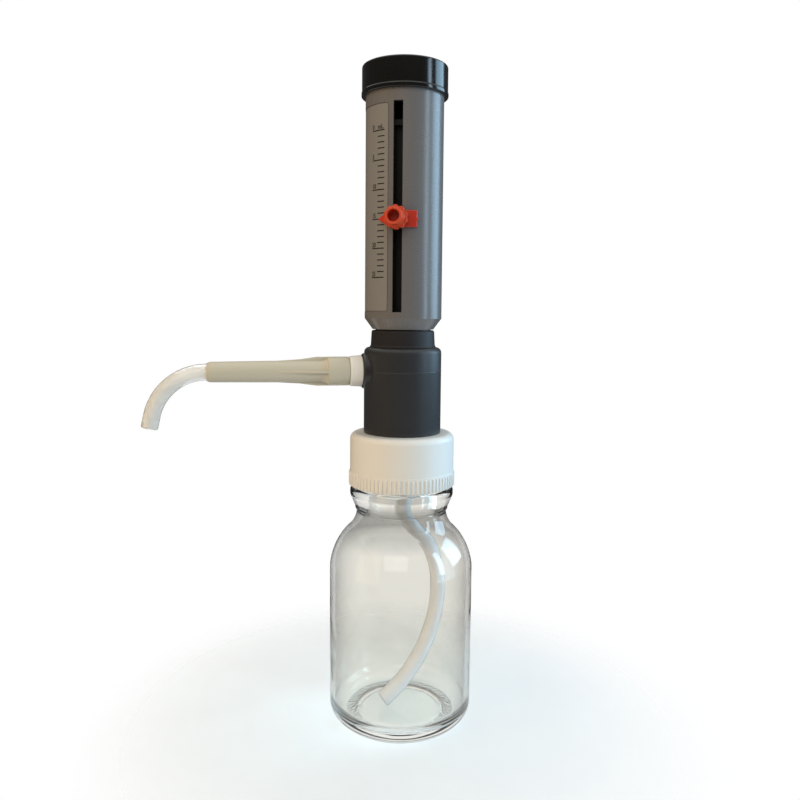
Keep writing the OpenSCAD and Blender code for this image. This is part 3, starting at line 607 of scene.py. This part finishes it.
jet, top_edges = tube_start(tube_r, tube_bore_r, housing_end_u - jet_hidden_l)
edges = drawn_out(jet, top_edges, (0, 0, jet_hidden_l))
edges = bent(jet, edges, (-jet_bend_r, 0, housing_end_u), (0, -1, 0), jet_angle, 30)
edges = drawn_out(jet, edges, (-jet_tip_l * math.sin(jet_angle), 0, jet_tip_l * math.cos(jet_angle)))
close_ends(jet, top_edges, edges)
eased(jet, edges, 0.4, 4)
bmesh.ops.transform(jet, matrix=along_nozzle, verts=jet.verts)
bmesh.ops.recalc_face_normals(jet, faces=jet.faces)
finished("jet_tube_formed", jet, jet_milky, "nozzle", ["jet_tube"])


# ---------------------------------------------------------------------------
# Measuring cylinder: a ground glass tube stands on its seal in the block. A
# dark guide tube protects it, and the collar nut holds both down.

collar_charcoal = moulded("collar_charcoal", (40, 38, 39), 0.5, 0.1, Specular_IOR_Level=0.25)
# The guide tube is black, and darker still as painted shade for the inside of the sleeve; the stop ring
# takes the same near black as painted shade.
guide_black = moulded("guide_black", (21, 19, 17), 0.4, 0.12)
ground_glass = blown_glass("ground_glass", (232, 240, 238))
dress("cylinder_seal", seal_white)
dress("guide_tube", guide_black)
dress("glass_cylinder", ground_glass)
dress("stop_ring", guide_black)
collar_low_z, collar_top_z = size_of("cylinder_collar")[1:]
guide_r = size_of("guide_tube")[0]
collar_r = size_of("cylinder_collar")[0]

collar = lathe([
    (guide_r, collar_low_z), (pocket_r, collar_low_z), (pocket_r, block_top_z - 0.02),
    (collar_r, block_top_z + 0.02, 0.2), (collar_r, block_top_z + 0.5, 0.2),
    (collar_r - 0.4, block_top_z + 1.0, 0.4), (collar_r - 0.8, collar_top_z, 0.9),
    (guide_r, collar_top_z, 0.3)], steps=144)
finished("collar_nut", collar, collar_charcoal, "head", ["cylinder_collar"])


# ---------------------------------------------------------------------------
# Piston: turned fluoropolymer with two rings of filled rubber, screwed on a
# rod coloured near black as painted shade for the dark inside of the sleeve.
# The rod's spigot carries the sleeve under a washer and a nut.

# Painted shade: the rod is near black so that it reads as the shade inside the sleeve.
rod_black = moulded("rod_black", (26, 25, 25), 0.4, 0.1)
ring_rubber = moulded("ring_rubber", (46, 46, 48), 0.6, 0.12, 0.00002)
dress("piston", seal_white)
dress("piston_rings", ring_rubber)
dress("piston_rod", rod_black)
dress("rod_washer", spring_steel)
dress("rod_nut", spring_steel)


# ---------------------------------------------------------------------------
# Sleeve: the grey moulded tube that is pulled up and pushed down. Its foot
# tapers to the collar, and the stop block slides in its long slot.

sleeve_grey = moulded("sleeve_grey", (106, 103, 102), 0.24, 0.04, 0.000006)
dress("sleeve", sleeve_grey)


# ---------------------------------------------------------------------------
# Scale label: a satin film let into the sleeve beside the slot, with a line
# for every millilitre, a longer one and a number for every fifth, in black.

label_silver = moulded("label_silver", (126, 124, 122), 0.3, 0.03, 0.000004)
sleeve_r, _, sleeve_top_z = size_of("sleeve")
label_low_z, label_top_z = size_of("scale_label")[1:]
label_r = sleeve_r - 0.1
label_t = 0.25
label_start = math.radians(13.5)
label_arc = math.radians(72)
label_gap = 0.42
label_near = label_start * sleeve_r + label_gap
label_far = (label_start + label_arc) * sleeve_r - label_gap
knob_axis = next(j for j in frame["joints"] if j["name"] == "knob_turn")["axis"]
slot_angle = math.atan2(-abs(knob_axis[1]), -abs(knob_axis[0]))


def wrap(bm, radius):
    """Lays a flat mesh (X to the left, Y off the surface, Z up) round the sleeve."""
    strip_w = 0.55
    low = min(v.co.x for v in bm.verts)
    high = max(v.co.x for v in bm.verts)
    strips = int((high - low) / strip_w) + 1
    for i in range(1, strips):
        bmesh.ops.bisect_plane(bm, geom=bm.verts[:] + bm.edges[:] + bm.faces[:], dist=1e-5,
                               plane_co=(low + (high - low) * i / strips, 0, 0), plane_no=(1, 0, 0))
    for v in bm.verts:
        turn = slot_angle - v.co.x / radius
        out = radius + v.co.y
        v.co = (out * math.cos(turn), out * math.sin(turn), v.co.z)


label = bmesh.new()
sheet = [label.verts.new(corner) for corner in [
    (label_near, 0, label_low_z + label_gap), (label_far, 0, label_low_z + label_gap),
    (label_far, 0, label_top_z - label_gap), (label_near, 0, label_top_z - label_gap)]]
label.faces.new(sheet)
eased(label, sheet, 1.1, 6, "VERTICES")
thicken(label, label.faces[:], (0, -label_t, 0))
wrap(label, label_r)
bmesh.ops.recalc_face_normals(label, faces=label.faces)
finished("scale_label_film", label, label_silver, "sleeve", ["scale_label"])

print_black = moulded("print_black", (22, 21, 20), 0.5, 0.1, 0.000002)
print_t = 0.03
stud_z = sum(size_of("clamp_knob")[1:]) / 2
cylinder_bore_r = 10.95
ml_pitch = 1000 / (math.pi * cylinder_bore_r ** 2)
rest_ml = 15
zero_z = stud_z + rest_ml * ml_pitch
tick_near = math.radians(20.5) * label_r
tick_far = math.radians(32.4) * label_r
long_far = math.radians(43) * label_r
number_far = math.radians(43.3) * label_r
number_up = 0.6
tick_h = 0.5
upright = Matrix.Rotation(math.radians(90), 4, "X")


def letters(text, left, up):
    """Flat narrow letters from a left end, on a foot line at the height up."""
    curve = bpy.data.curves.new("letters", "FONT")
    curve.body = text
    curve.size = 3.05
    curve.offset = 0.06
    curve.resolution_u = 3
    holder = bpy.data.objects.new("letters", curve)
    bpy.context.scene.collection.objects.link(holder)
    shape = bpy.data.meshes.new_from_object(holder.evaluated_get(bpy.context.evaluated_depsgraph_get()))
    bpy.data.objects.remove(holder)
    shape.transform(Matrix(((-0.84, 0, 0, left), (0, 0, 1, 0), (0, 1, 0, up), (0, 0, 0, 1))))
    return shape


marks = bmesh.new()
for ml in range(26):
    mark_z = zero_z - ml * ml_pitch
    reach = long_far if ml % 5 == 0 else tick_far
    bar = (Matrix.Translation(((tick_near + reach) / 2, 0, mark_z))
           @ Matrix.Diagonal((reach - tick_near, 1, tick_h, 1)) @ upright)
    bmesh.ops.create_grid(marks, x_segments=1, y_segments=1, size=0.5, matrix=bar)
    if ml % 5 == 0:
        marks.from_mesh(letters(str(ml), number_far, mark_z + number_up))
marks.from_mesh(letters("mL", tick_far, zero_z + number_up))
bmesh.ops.remove_doubles(marks, verts=marks.verts, dist=1e-4)
bmesh.ops.translate(marks, vec=(0, print_t, 0), verts=marks.verts)
wrap(marks, label_r)
for face in marks.faces:
    face.normal_update()
    centre = face.calc_center_median()
    if face.normal.x * centre.x + face.normal.y * centre.y < 0:
        face.normal_flip()
finished("scale_marks", marks, print_black, "sleeve")


# ---------------------------------------------------------------------------
# Top cap: a black moulded cap pressed over the head of the sleeve. It has a
# narrow lip round its foot and a raised disc on its head for the palm.

cap_black = moulded("cap_black", (19, 18, 17), 0.12, 0.12, 0.000005)
top_r, top_low_z, top_z = size_of("top_cap")
top_side_r = top_r - 0.25
disc_t = 0.3

dome = lathe([
    (sleeve_r, top_low_z, 0.2), (top_r, top_low_z, 0.4), (top_r, top_low_z + 1.8, 0.4),
    (top_side_r, top_low_z + 2.1, 0.2), (top_side_r, top_z - disc_t, 0.8),
    (top_r - 4, top_z - disc_t, 0.1), (top_r - 4.3, top_z, 0.15), (0, top_z),
    (0, sleeve_top_z), (sleeve_r, sleeve_top_z)], steps=144)
finished("top_cap_dome", dome, cap_black, "sleeve", ["top_cap"])


# ---------------------------------------------------------------------------
# Stop block: a shoe moulded in red plastic that slides in the slot and meets
# the ring on the guide tube to end the stroke. Its stud carries the knob.

pointer_red = moulded("pointer_red", (186, 46, 26), 0.3, 0.05)
dress("stop_block", pointer_red)


# ---------------------------------------------------------------------------
# Pointer plate: moulded in red plastic to the curve of the sleeve, pointed on
# the side of the scale and square on the other. The knob holds it down.

plate_in_r = sleeve_r + 0.1
plate_t = 1.8
_, plate_low_z, plate_top_z = size_of("pointer_plate")
plate_z = (plate_low_z + plate_top_z) / 2
plate_half_w = 9.2
nib_half_w = 10.0
point_l = 5.4
plate_s = plate_in_r * math.asin(plate_half_w / (plate_in_r + plate_t))
nib_s = plate_in_r * math.asin(nib_half_w / (plate_in_r + plate_t))

plate = bmesh.new()
flat = plate.faces.new([plate.verts.new((s, 0, z)) for s, z in [
    (plate_s, plate_z), (plate_s - point_l, plate_low_z), (-plate_s, plate_low_z),
    (-plate_s, plate_z - 0.8), (-nib_s, plate_z), (-plate_s, plate_z + 0.8),
    (-plate_s, plate_top_z), (plate_s - point_l, plate_top_z)]])
thicken(plate, [flat], (0, plate_t, 0))
eased(plate, plate.edges[:], 0.4, 3, clamp_overlap=True)
wrap(plate, plate_in_r)
bmesh.ops.recalc_face_normals(plate, faces=plate.faces)
finished("pointer_plate_bent", plate, pointer_red, "volume_stop", ["pointer_plate"])


# ---------------------------------------------------------------------------
# Clamp knob: an orange knob moulded on a brass insert. It has a lobed rim
# and a hollow face, and it screws onto the stud to clamp the stop.

knob_orange = moulded("knob_orange", (202, 70, 38), 0.3, 0.04)
knob_x = plate_in_r + plate_t + 0.1
lobe_r = 5.45
rim_t = 4.0
face_r = 3.95
hollow_r = 2.7
face_z = 9.5
floor_z = 2.2
stud_hole_r = 1.75
stud_hole_z = 1.6
lobes = 10
flute_r = 1.3
flute_out = 0.75
flute_half_w = 1.06
at_knob = (Matrix.Translation((0, 0, stud_z)) @ Matrix.Rotation(slot_angle, 4, "Z")
           @ Matrix.Translation((knob_x, 0, 0)) @ Matrix.Rotation(math.radians(90), 4, "Y"))

rim = bmesh.new()
bmesh.ops.create_circle(rim, segments=lobes * 20, radius=lobe_r)
for v in rim.verts:
    part = math.degrees(math.atan2(v.co.y, v.co.x)) % (360 / lobes) - 180 / lobes
    across = math.radians(abs(part)) * lobe_r
    if across < flute_half_w:
        v.co *= (lobe_r + flute_out - math.sqrt(flute_r ** 2 - across ** 2)) / lobe_r
bmesh.ops.create_circle(rim, segments=lobes * 20, radius=hollow_r + 0.5)
bmesh.ops.bridge_loops(rim, edges=rim.edges[:])
thicken(rim, rim.faces[:], (0, 0, rim_t))
bmesh.ops.recalc_face_normals(rim, faces=rim.faces)
rim_edges = [e for e in rim.edges if abs(e.verts[0].co.z - e.verts[1].co.z) < 1e-6]
eased(rim, rim_edges, 0.4, 4, clamp_overlap=True)
face_ring = lathe([
    (0, floor_z), (hollow_r, floor_z, 0.3), (hollow_r, face_z, 0.4), (face_r, face_z, 0.5),
    (face_r, rim_t + 0.5, 0.5), (face_r + 0.7, rim_t - 0.3), (face_r + 0.7, 0.1), (stud_hole_r, 0.1),
    (stud_hole_r, stud_hole_z), (0, stud_hole_z)], steps=64)
knob = joined(rim, face_ring)
bmesh.ops.transform(knob, matrix=at_knob, verts=knob.verts)
finished("clamp_knob_lobed", knob, knob_orange, "clamp_knob", ["clamp_knob"])


# ---------------------------------------------------------------------------
# Studio: a pale floor that fades out into a white surround, a warm lamp on
# the left, a cool one on the right, and the camera.


def staged(name, bm, material):
    """A piece of the studio, which is no part of the dispenser."""
    mesh = bpy.data.meshes.new(name)
    bm.to_mesh(mesh)
    bm.free()
    mesh.materials.append(material)
    made = bpy.data.objects.new(name, mesh)
    bpy.context.scene.collection.objects.link(made)
    return made


paper, paper_place, paper_feed = finish("paper", Roughness=0.8)
paper_x, paper_y, _ = axes(paper_place)
paper_feed("Base Color", blend(tint(244, 244, 243), tint(250, 250, 249), noise(paper_place, 30)))
paper_feed("Alpha", 1 - ramp(paper_x * paper_x + paper_y * paper_y, 0.04 ** 2, 0.16 ** 2))
disc = bmesh.new()
bmesh.ops.create_circle(disc, cap_ends=True, segments=96, radius=1.2)
floor = staged("floor", disc, paper)
floor.location.z = -0.0002

world = bpy.data.worlds.new("surround")
bpy.context.scene.world = world
world.use_nodes = True
sky = Flow(world.node_tree)
rays = [sky.add("ShaderNodeLightPath", out=name) for name in
        ("Is Camera Ray", "Is Glossy Ray", "Is Transmission Ray")]
room = sky.add("ShaderNodeBackground", {}, {"Color": (1.0, 0.98, 0.93, 1), "Strength": 0.36})
white = sky.add("ShaderNodeBackground", {}, {"Color": (1, 1, 1, 1), "Strength": 1.0})
seen = sky.add("ShaderNodeMixShader", {}, {0: rays[0] + rays[1] + rays[2], 1: room, 2: white})
world.node_tree.links.new(seen.socket, world.node_tree.nodes["World Output"].inputs["Surface"])

# Only reflections see this dark wall round the room, which gives gloss its contrast.
matt_dark = finish("dark_ring", Base_Color=(0, 0, 0, 1), Roughness=1.0, Specular_IOR_Level=0.0,
                   Emission_Color=(0.07, 0.07, 0.072, 1), Emission_Strength=1.0)[0]
wall = bmesh.new()
bmesh.ops.create_cone(wall, cap_ends=False, segments=48, radius1=1.3, radius2=1.3, depth=1.7,
                      matrix=Matrix.Translation((0, 0, 0.25)))
bmesh.ops.recalc_face_normals(wall, faces=wall.faces)
dark_ring = staged("dark_ring", wall, matt_dark)
for ray in ("camera", "diffuse", "transmission", "volume_scatter", "shadow"):
    setattr(dark_ring, "visible_" + ray, False)


def lamp(name, place, width, height, radiance, colour, mirrored=True):
    """A soft box whose face is as bright as radiance, where white paper is 1."""
    light = bpy.data.lights.new(name, "AREA")
    light.shape = "RECTANGLE"
    light.size = width
    light.size_y = height
    light.energy = radiance * math.pi * width * height
    light.color = colour
    holder = bpy.data.objects.new(name, light)
    holder.location = place
    holder.rotation_mode = "QUATERNION"
    holder.rotation_quaternion = (lamp_target - Vector(place)).to_track_quat("-Z", "Y")
    holder.visible_glossy = mirrored
    bpy.context.scene.collection.objects.link(holder)


lamp_target = Vector((0, 0, 0.18))
lamp("warm_box", (-0.8, -0.3, 0.3), 0.7, 1.0, 1.6, (1.0, 0.62, 0.2), mirrored=False)
lamp("front_box", (-0.35, -0.9, 0.75), 0.8, 0.6, 2.5, (1.0, 0.97, 0.9), mirrored=False)
lamp("top_box", (0.0, 0.15, 1.0), 0.6, 0.6, 1.3, (1.0, 0.98, 0.95))
lamp("cool_fill", (0.8, -0.35, 0.15), 0.6, 0.6, 2.5, (0.36, 0.7, 1.0), mirrored=False)
lamp("cool_window", (0.89, 0.06, 0.42), 0.5, 0.55, 6.0, (0.48, 0.76, 1.0))
lamp("cool_strip", (0.74, -0.49, 0.4), 0.14, 0.6, 7.5, (0.6, 0.82, 1.0))

camera_data = bpy.data.cameras.new("camera")
camera_data.lens = 34.29
camera_data.sensor_width = 36
camera_data.shift_y = -0.03
camera_data.clip_start = 0.01
camera = bpy.data.objects.new("camera", camera_data)
camera.location = (-0.0767, -0.3609, 0.203)
camera_turn, camera_tilt, camera_roll = math.radians(-11.81), math.radians(85), math.radians(0.5)
camera.rotation_euler = (Matrix.Rotation(camera_turn, 3, "Z") @ Matrix.Rotation(camera_tilt, 3, "X")
                         @ Matrix.Rotation(camera_roll, 3, "Z")).to_euler()
bpy.context.scene.collection.objects.link(camera)
bpy.context.scene.camera = camera
bpy.context.scene.view_settings.view_transform = "Standard"
